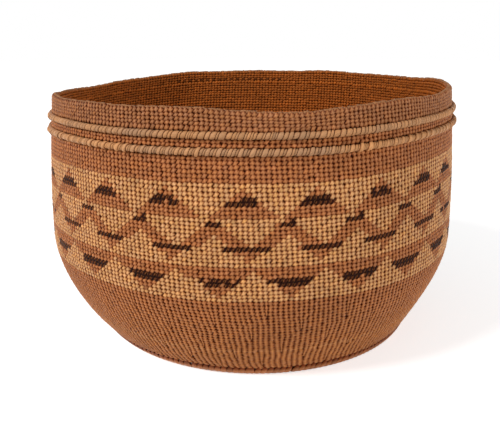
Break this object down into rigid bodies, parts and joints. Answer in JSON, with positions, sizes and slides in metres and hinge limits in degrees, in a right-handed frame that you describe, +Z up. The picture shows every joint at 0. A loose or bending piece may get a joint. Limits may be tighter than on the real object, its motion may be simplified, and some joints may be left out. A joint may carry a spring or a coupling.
{
  "type": "twined storage basket",
  "caption": "Open round-bellied twined basket with a flat base, rods and weft in three layers, two lashed hoops under the rim and bands of stepped triangle figures.",
  "frame": {"origin": "middle of the basket's bounding box, on the surface that the basket stands on", "axes": "+Z up out of the mouth, -Y towards the viewer of the picture, +X to that viewer's right"},
  "size_m": [0.353, 0.353, 0.2113],
  "materials": {
    "warp_rod": "split and scraped shoots, matte",
    "hoop_rod": "peeled shoot, satin",
    "hoop_lashing": "split root strand, satin",
    "root_weft": "twined split root, worn satin",
    "root_weft_pale": "twined split root, worn satin",
    "base_weft": "twined split root, rubbed",
    "inside_weft": "twined split root, matte",
    "bear_grass": "flat grass overlay, slight gloss",
    "figure_overlay": "grass, dark fern stem and root overlay strands"
  },
  "bodies": {
    "root": {"warp_rods": "warp_rod", "rim_edge_course": "root_weft_pale", "rim_courses": "root_weft", "upper_hoop_rod": "hoop_rod", "upper_hoop_lashing": "hoop_lashing", "collar_courses": "root_weft", "lower_hoop_rod": "hoop_rod", "lower_hoop_lashing": "hoop_lashing", "upper_wall_courses": "root_weft", "upper_border_overlay": "bear_grass", "upper_figure_overlay": "figure_overlay", "zigzag_overlay": "figure_overlay", "middle_border_overlay": "bear_grass", "divider_courses": "root_weft", "lower_figure_overlay": "figure_overlay", "lower_border_overlay": "bear_grass", "lower_wall_courses": "root_weft", "heel_line_course": "root_weft_pale", "heel_courses": "root_weft", "base_edge_course": "base_weft", "base_courses": "base_weft", "start_courses": "base_weft", "inside_weft_upper": "inside_weft", "inside_weft_lower": "inside_weft", "inside_weft_floor": "inside_weft"}
  },
  "joints": []
}
